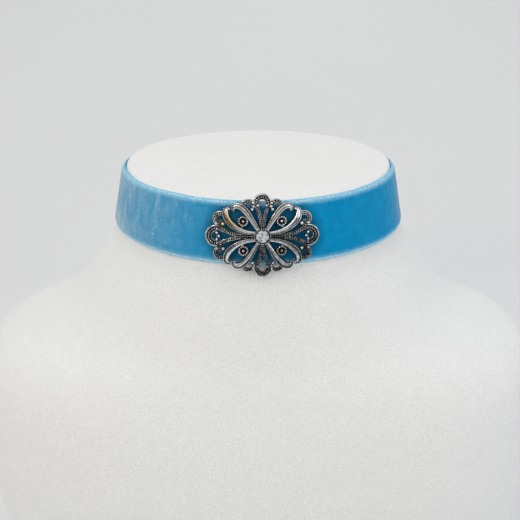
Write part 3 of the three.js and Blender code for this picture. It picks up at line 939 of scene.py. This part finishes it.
def slab(casting, curve, width, top, steps):
    """The dark web that a line's ridges stand on."""
    half = np.broadcast_to(np.asarray(width) / 2, steps)
    high = np.broadcast_to(top, steps)
    low = np.full(steps, CASTING_BACK)
    section = [
        (half, low),
        (half, high - WEB_BEVEL),
        (half - WEB_BEVEL, high),
        (WEB_BEVEL - half, high),
        (-half, high - WEB_BEVEL),
        (-half, low),
    ]
    section = np.stack([np.stack(pair, -1) for pair in section], axis=1)
    stroke(casting, curve, steps, section, (1, 0.75, 1, 1, 0.75, 1))


def double_line(casting, curve, widths, levels, worn=0.0):
    """A bright ridge on the right, beads and a finer ridge. Widths and levels are evenly spaced."""
    steps = max(6, int(curve.length / WEB_STEP))
    share = np.linspace(0, 1, steps)
    places = np.linspace(0, 1, len(widths))
    wide, high = np.interp(share, places, widths), np.interp(share, places, levels)
    slab(casting, curve, wide, high - WEB_DROP, steps)
    fine = np.linspace(0, 1, max(8, int(curve.length / BAR_STEP)))
    fine_wide = np.interp(fine, share, wide)
    fine_high = np.interp(fine, share, high)
    outer, inner = OUTER_RIDGE * fine_wide, INNER_RIDGE * fine_wide
    round_bar(casting, curve, outer, fine_high - outer - OUTER_DROP, outer - 0.5 * fine_wide, worn)
    inner_worn = 0.25 * worn
    round_bar(casting, curve, inner, fine_high - inner - INNER_DROP, 0.5 * fine_wide - inner, inner_worn)
    at = np.linspace(0, 1, max(2, int(round(curve.length / BEAD_PITCH)) + 1))
    bead_wide, bead_high = np.interp(at, share, wide), np.interp(at, share, high)
    radius = np.minimum(LINE_BEAD * bead_wide, 0.47 * BEAD_PITCH)
    casting.tarnish -= BEAD_WEAR
    bead_row(casting, curve, radius, bead_high - 0.9 * radius, LINE_BEAD_ASIDE * bead_wide)
    casting.tarnish += BEAD_WEAR


# The polished bands that curl to form each corner petal: place, then width and outward level as
# shares of the band's.
UPPER_BAND = table(
    "u v width level",
    (0.075, 0.15, 0.49, 0.95),
    (0.145, 0.315, 0.64, 0.975),
    (0.216, 0.475, 0.78, 1),
    (0.284, 0.598, 0.89, 0.975),
    (0.36, 0.69, 0.98, 0.925),
    (0.44, 0.722, 0.98, 0.85),
    (0.497, 0.682, 0.89, 0.75),
    (0.495, 0.6, 0.36, 0.65),
)
LOWER_BAND = table(
    "u v width level",
    (0.135, 0.09, 0.42, 0.95),
    (0.268, 0.11, 0.58, 0.975),
    (0.398, 0.17, 0.71, 1),
    (0.512, 0.272, 0.84, 1),
    (0.594, 0.395, 0.96, 0.95),
    (0.632, 0.52, 1, 0.875),
    (0.622, 0.622, 0.89, 0.75),
    (0.56, 0.66, 0.36, 0.65),
)
# The scallops of the rim: centre, outer radius as a share of the half height, arc in degrees and
# width in millimetres.
END_ARCH, TOP_LOBE, SIDE_LOBE, SHOULDER_LOBE = table(
    "u v radius start end width",
    (0.805, 0.0, 0.266, -96, 96, 2.35),
    (0.0, 0.787, 0.213, -14, 194, 2.0),
    (0.728, 0.41, 0.184, -40, 120, 1.55),
    (0.247, 0.7, 0.176, 8, 142, 1.35),
)
# The double stems that part from each axis, and the scroll that ends each arm. Widths and levels
# are shares of the stem's.
SIDE_STEM = table(
    "u v width level",
    (0.39, 0.04, 0.96, 0.963),
    (0.46, 0.042, 1, 0.963),
    (0.53, 0.062, 1, 0.926),
    (0.6, 0.1, 1, 0.889),
    (0.665, 0.15, 0.96, 0.852),
    (0.725, 0.208, 0.92, 0.815),
    (0.757, 0.28, 0.8, 0.815),
    (0.742, 0.35, 0.72, 0.815),
    (0.703, 0.362, 0.64, 0.815),
)
TOP_STEM = table(
    "u v width level",
    (0.022, 0.19, 0.88, 1),
    (0.026, 0.3, 0.92, 1),
    (0.036, 0.43, 0.96, 0.963),
    (0.06, 0.56, 0.96, 0.889),
    (0.09, 0.67, 0.92, 0.815),
    (0.118, 0.76, 0.84, 0.741),
)
# Plain round wires, each through a few places: inside each arm, across it, and from each rosette
INNER_RAIL = [(0.59, 0.07), (0.68, 0.105), (0.805, 0.19)]
UPRIGHT_RAIL = [(0.8, -0.17), (0.785, 0.0), (0.8, 0.17)]
ROSETTE_RAIL = [(0.343, 0.25), (0.37, 0.15)]
# The middle line of each side's bar of beaded rows
BAR_LINE = [(0.135, 0.0), (0.28, 0.0), (0.42, 0.0)]
ROSETTE = {"u": 0.332, "v": 0.355}
# Balls where lines end or meet: place, then radius and level as shares of the ball's and the lobes'
QUARTER_BALLS = table(
    "u v size level",
    (0.68, 0.3, 1.0, 1.05),
    (0.07, 0.735, 0.73, 1.05),
    (0.153, 0.71, 0.8, 1.0),
    (0.176, 0.642, 0.91, 1.0),
    (0.8, 0.3, 0.93, 0.63),
    (0.158, 0.79, 0.93, 0.63),
    (0.79, 0.08, 0.77, 0.95),
)
# A polished band's section from its left to its right: place across as a share of its half width,
# drop below its top in millimetres (None at its back), and stain.
BAND_SECTION = [
    (1.0, None, 1.0),
    (1.0, 0.5, 0.8),
    (0.95, 0.14, 0.2),
    (0.84, 0.02, 0.0),
    (0.72, 0.08, 0.4),
    (0.62, 0.22, 0.75),
    (0.4, 0.12, 0.35),
    (0.1, 0.06, 0.16),
    (-0.2, 0.02, 0.04),
    (-0.5, 0.04, 0.0),
    (-0.75, 0.12, 0.12),
    (-0.92, 0.26, 0.5),
    (-1.0, 0.5, 0.8),
    (-1.0, None, 1.0),
]


def polished_band(casting, rows, flip=1):
    """A smooth rounded band with a thin raised rim along its left side, or its right with flip -1."""
    curve = Spline([(row["u"], row["v"]) for row in rows])
    share, places = np.linspace(0, 1, BAND_STEPS), np.linspace(0, 1, len(rows))
    width = np.interp(share, places, [row["width"] for row in rows])
    level = np.interp(share, places, [row["level"] for row in rows])
    section = []
    for across, drop, _ in BAND_SECTION[::flip]:
        outward = np.full(BAND_STEPS, CASTING_BACK) if drop is None else BAND_LEVEL * level - drop
        section.append(np.stack([flip * across * width * BAND_WIDTH / 2, outward], axis=-1))
    stain = [stain for _, _, stain in BAND_SECTION[::flip]]
    stroke(casting, curve, BAND_STEPS, np.stack(section, axis=1), stain)


def scallop(casting, lobe):
    reach = lobe["radius"] * HALF_HEIGHT - lobe["width"] / 2
    curve = Arc(lobe["u"], lobe["v"], reach, lobe["start"], lobe["end"])
    double_line(casting, curve, [lobe["width"]] * 2, [LOBE_LEVEL] * 2, SCALLOP_WEAR)


def double_stem(casting, rows):
    curve = Spline([(row["u"], row["v"]) for row in rows])
    widths = [STEM_WIDTH * row["width"] for row in rows]
    levels = [STEM_LEVEL * row["level"] for row in rows]
    double_line(casting, curve, widths, levels)


def ball(casting, row):
    x, y = placed(row["u"], row["v"])
    bead(casting, x, y, row["level"] * LOBE_LEVEL, row["size"] * BALL_RADIUS)


def turned(casting, x, y, rows):
    """A round casting from rows of radius, level and stain, given from its back to its middle."""
    around = TURN * np.arange(TURNED_SIDES) / TURNED_SIDES
    rings = []
    for r, z, _ in rows:
        level = np.full(TURNED_SIDES, z)
        rings.append(np.stack([x + r * np.cos(around), y + r * np.sin(around), level], -1))
    casting.loft(rings, np.array([[stain] for _, _, stain in rows]))


def bead_ring(casting, x, y, ring_radius, level, count, radius, shift=0.0):
    """Beads round a centre, the first of them shifted by a share of their pitch."""
    for k in range(count):
        a = TURN * (k + shift) / count
        bead(casting, x + ring_radius * math.cos(a), y + ring_radius * math.sin(a), level, radius)


def rosette(casting):
    """A dished disc with a ring of beads, a ball in its middle and a wire that holds it."""
    x, y = placed(ROSETTE["u"], ROSETTE["v"])
    r, level = ROSETTE_RADIUS, ROSETTE_LEVEL
    rows = [(0.95 * r, CASTING_BACK, 1.0), (0.97 * r, level - 0.6, 1.0), (0.9 * r, level - 0.5, 0.9)]
    rows += [(0.62 * r, level - 0.5, 0.9), (0.5 * r, level - 0.8, 1.0)]
    turned(casting, x, y, rows)
    casting.tarnish = -RING_WEAR
    bead_ring(casting, x, y, 0.79 * r, level - 0.34, 12, 0.36)
    casting.tarnish = 0.0
    bead(casting, x, y, level - 0.5, 0.58)
    round_bar(casting, Spline(ROSETTE_RAIL), 1.2 * RAIL_RADIUS, LOBE_LEVEL - RAIL_RADIUS)


def quarter():
    casting = Casting()
    polished_band(casting, UPPER_BAND, 1)
    polished_band(casting, LOWER_BAND, -1)
    casting.tarnish = LINE_TARNISH
    scallop(casting, SIDE_LOBE)
    scallop(casting, SHOULDER_LOBE)
    double_stem(casting, SIDE_STEM)
    double_stem(casting, TOP_STEM)
    round_bar(casting, Spline(INNER_RAIL), RAIL_RADIUS, LOBE_LEVEL - RAIL_RADIUS)
    casting.tarnish = 0.0
    rosette(casting)
    for row in QUARTER_BALLS:
        ball(casting, row)
    return casting


def side_group():
    """The end arch, the bar of beaded rows, and the upright wire and ball inside the arch."""
    casting = Casting()
    casting.tarnish = LINE_TARNISH
    scallop(casting, END_ARCH)
    bar = Spline(BAR_LINE)
    slab(casting, bar, BAR_WIDTH, BAR_LEVEL - BAR_DROP, 24)
    radius = BAR_BEAD * BAR_WIDTH
    for row in BAR_ROWS:
        bead_row(casting, bar, radius, BAR_LEVEL - radius + BAR_RISE, row * BAR_WIDTH / 2)
    round_bar(casting, Spline(UPRIGHT_RAIL), RAIL_RADIUS, LOBE_LEVEL - RAIL_RADIUS)
    casting.tarnish = 0.0
    ball(casting, {"u": 0.755, "v": 0.0, "size": 0.8, "level": 0.95})
    return casting


def cup(casting):
    """The round setting of the stone, with beads on its wall."""
    pocket = STONE_DIAMETER / 2 + STONE_CLEARANCE
    outer = pocket + CUP_WALL
    top = CUP_FLOOR + STONE_CLEARANCE + CUP_LIP
    rows = [(outer, CASTING_BACK, 1.0), (outer, top - 0.45, 0.9), (outer - 0.1, top - 0.3, 0.8)]
    rows += [(pocket + 0.05, top - 0.3, 0.8), (pocket, top - 0.4, 0.9), (pocket, CUP_FLOOR, 1.0)]
    turned(casting, 0, 0, rows)
    bead_ring(casting, 0, 0, pocket + CUP_WALL / 2, top - 0.26, 24, 0.27, 0.5)


def soft_spot(points, u, v, wide, high):
    """1 at a place and fading round it. The place and the spot's reaches are shares."""
    across = (points[:, 0] / HALF_WIDTH - u) / wide
    up = (points[:, 1] / HALF_HEIGHT - v) / high
    return np.exp(-(across**2) - up**2)


def painted_golden_reflection(points):
    """How golden each point is, a painted reflection of warm light: most at the upper left, a little at
    the lower right.
    """
    upper_left = soft_spot(points, -0.55, 0.42, 0.24, 0.36)
    lower_right = soft_spot(points, 0.35, -0.35, 0.3, 0.3)
    return 0.44 * upper_left + 0.16 * lower_right


def darker_low_and_right(points):
    """Darker over the lower half and to the right, and lighter at the upper right corner."""
    upper_right = soft_spot(points, 0.5, 0.5, 0.35, 0.4)
    lower = 1 - smoothstep(-0.5, 0.1, points[:, 1] / HALF_HEIGHT)
    right = smoothstep(-0.2, 0.5, points[:, 0] / HALF_WIDTH)
    return 0.11 * lower + 0.09 * right - 0.2 * upper_right


def make_ornament():
    whole = Casting()
    corner, side, top = quarter(), side_group(), Casting()
    top.tarnish = LINE_TARNISH
    scallop(top, TOP_LOBE)
    for x in (1, -1):
        for y in (1, -1):
            whole.take(corner.mirrored(x, y))
        whole.take(side.mirrored(x, 1))
        whole.take(top.mirrored(1, x))
    cup(whole)
    flat = np.vstack(whole.points)
    piece = mesh_object("silver_filigree", on_ribbon(flat), whole.faces)
    # Each shape's patina, plus darkening towards the lower half and the right
    add_values(piece, "stain", np.concatenate(whole.stains) + darker_low_and_right(flat))
    # Painted reflection of warm light, golden at the upper left
    add_values(piece, "warm_light_reflection", painted_golden_reflection(flat))
    piece.data.materials.append(silver_material())
    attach(piece, "root")
    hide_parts("filigree_ornament")


# The stone: how many main facets, the shares of its radius and crown where the star facets' lower
# corners lie, the foil's depth behind its rim, and where the foil's facets meet, a little off centre
STONE_MAINS = 8
STAR_REACH = 0.79
STAR_HEIGHT = 0.56
FOIL_DEPTH = 0.2
FOIL_INNER = (0.5, 0.3)
FOIL_APEX = (0.2, -0.15)
# The foil facets painted dark as painted dark reflections, by their numbers
DARK_REFLECTION_FACETS = (2, 7, 8, 13, 16, 19, 22, 27, 29)
# Where each ring of its points starts: table, shoulder, girdle, rim, inner ring, and the apex
TABLE_AT, SHOULDER_AT, GIRDLE_AT, RIM_AT, INNER_AT, APEX_AT = (k * STONE_MAINS for k in (0, 1, 2, 4, 6, 7))


def stone_ring(count, radius, z, shift=0.0):
    turn = TURN * (np.arange(count) + shift) / count
    return np.stack([radius * np.cos(turn), radius * np.sin(turn), np.full(count, z)], axis=-1)


def stone_points():
    radius = STONE_DIAMETER / 2
    seat = CUP_FLOOR + STONE_CLEARANCE
    girdle = seat + STONE_GIRDLE
    inner_reach, inner_height = FOIL_INNER
    return np.vstack(
        [
            stone_ring(STONE_MAINS, STONE_TABLE / 2, girdle + STONE_CROWN),
            stone_ring(STONE_MAINS, STAR_REACH * radius, girdle + STAR_HEIGHT * STONE_CROWN, 0.5),
            stone_ring(2 * STONE_MAINS, radius, girdle),
            stone_ring(2 * STONE_MAINS, radius, seat + FOIL_DEPTH),
            stone_ring(STONE_MAINS, inner_reach * radius, seat + inner_height * FOIL_DEPTH),
            [(*FOIL_APEX, seat)],
        ]
    )


def front_facets():
    """The table, then the star and crown facets of each side, then the girdle's."""
    facets = [tuple(range(STONE_MAINS))]
    for i in range(STONE_MAINS):
        k = (i + 1) % STONE_MAINS
        here, middle, there = (GIRDLE_AT + (2 * i + step) % (2 * STONE_MAINS) for step in range(3))
        corner = SHOULDER_AT + i
        facets.append((TABLE_AT + i, corner, TABLE_AT + k))
        facets.append((TABLE_AT + i, here, corner))
        facets.append((TABLE_AT + k, corner, there))
        facets.append((corner, here, middle))
        facets.append((corner, middle, there))
    for i in range(2 * STONE_MAINS):
        k = (i + 1) % (2 * STONE_MAINS)
        facets.append((GIRDLE_AT + i, RIM_AT + i, RIM_AT + k, GIRDLE_AT + k))
    return facets


def foil_facets():
    facets = []
    for i in range(STONE_MAINS):
        near = INNER_AT + i
        far = INNER_AT + (i + 1) % STONE_MAINS
        here, middle, there = (RIM_AT + (2 * i + step) % (2 * STONE_MAINS) for step in range(3))
        facets.append((APEX_AT, far, near))
        facets.append((near, middle, here))
        facets.append((near, far, middle))
        facets.append((far, there, middle))
    return facets


def make_stone():
    """A flat-backed stone: table, star and kite facets in front and a faceted foil behind."""
    front, foil = front_facets(), foil_facets()
    piece = mesh_object("faceted_stone", on_ribbon(stone_points()), front, foil, smooth=False)
    mesh = piece.data
    mesh.materials.append(crystal_material())
    mesh.materials.append(foil_material("crystal_foil", 0.1, rgb(240, 244, 247), rgb(253, 254, 255)))
    # Painted reflection: a dark copy of the foil for the facets that stand for dark reflections
    mesh.materials.append(foil_material("crystal_foil_dark_reflection", 0.6, rgb(58, 64, 72), rgb(120, 128, 138)))
    shades = [2 if i in DARK_REFLECTION_FACETS else 1 for i in range(len(foil))]
    mesh.polygons.foreach_set("material_index", [0] * len(front) + shades)
    mesh.update()
    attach(piece, "root")
    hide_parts("clear_stone")


# Stage


def make_stage():
    """One sheet of paper that sweeps up from floor to backdrop, and a dark card in front."""
    half = 1500.0
    far, high = 900.0, 1400.0
    sweep = 600.0
    bend_start = far - sweep
    paper = paper_material("studio_paper", rgb(233, 233, 233))
    corners = [(-half, -half, 0), (half, -half, 0), (half, bend_start, 0), (-half, bend_start, 0)]
    floor = mesh_object("floor", corners, [(0, 1, 2, 3)])
    floor.data.materials.append(paper)
    angle = np.linspace(0, math.pi / 2, 48)
    profile = [(bend_start + sweep * math.sin(a), sweep * (1 - math.cos(a))) for a in angle]
    profile.append((far, high))
    points = [(x, y, z) for y, z in profile for x in (-half, half)]
    quads = [(2 * i, 2 * i + 1, 2 * i + 3, 2 * i + 2) for i in range(len(profile) - 1)]
    backdrop = mesh_object("backdrop", points, quads)
    backdrop.data.materials.append(paper)
    wide, away, low, top = 1200, -1000, 20, 480
    corners = [(-wide, away, low), (wide, away, low), (wide, away, top), (-wide, away, top)]
    card = mesh_object("dark_card", corners, [(0, 1, 2, 3)])
    card.data.materials.append(paper_material("card_paper", rgb(40, 40, 42)))


# Round lights: place and width in millimetres, and power in watts
LIGHTS = table(
    "name from size power color",
    ("key", (-380, -520, 900), 620, 1.6, (1.0, 0.99, 0.975)),
    ("fill", (640, -560, 520), 700, 1.4, (0.95, 0.98, 1.0)),
    ("top", (0, 160, 1050), 900, 2.0, (1.0, 1.0, 1.0)),
    ("front", (0, -900, 260), 700, 0.35, (1.0, 1.0, 1.0)),
    ("left", (-900, -380, 260), 600, 0.7, (1.0, 1.0, 1.0)),
    ("right", (900, -380, 260), 600, 0.9, (1.0, 1.0, 1.0)),
    ("glint", (-260, -420, 420), 90, 0.35, (1.0, 0.9, 0.72)),
)
LIGHT_AIM = (0, -20, 140)
WORLD_COLOR = (0.97, 0.98, 1.0, 1.0)
WORLD_STRENGTH = 0.6


def make_lights():
    for row in LIGHTS:
        data = bpy.data.lights.new(row["name"], "AREA")
        data.shape = "DISK"
        data.size = row["size"] * MM
        data.energy = row["power"]
        data.color = row["color"]
        light = linked(row["name"], data)
        seat = Vector(row["from"])
        light.location = seat * MM
        light.rotation_euler = (seat - Vector(LIGHT_AIM)).to_track_quat("Z", "Y").to_euler()
    world = bpy.data.worlds.new("studio")
    world.use_nodes = True
    background = world.node_tree.nodes["Background"]
    background.inputs["Color"].default_value = WORLD_COLOR
    background.inputs["Strength"].default_value = WORLD_STRENGTH
    bpy.context.scene.world = world


make_camera()
make_bust()
make_ribbon()
make_clasp()
make_ornament()
make_stone()
make_stage()
make_lights()
bpy.context.scene.view_settings.view_transform = "Standard"
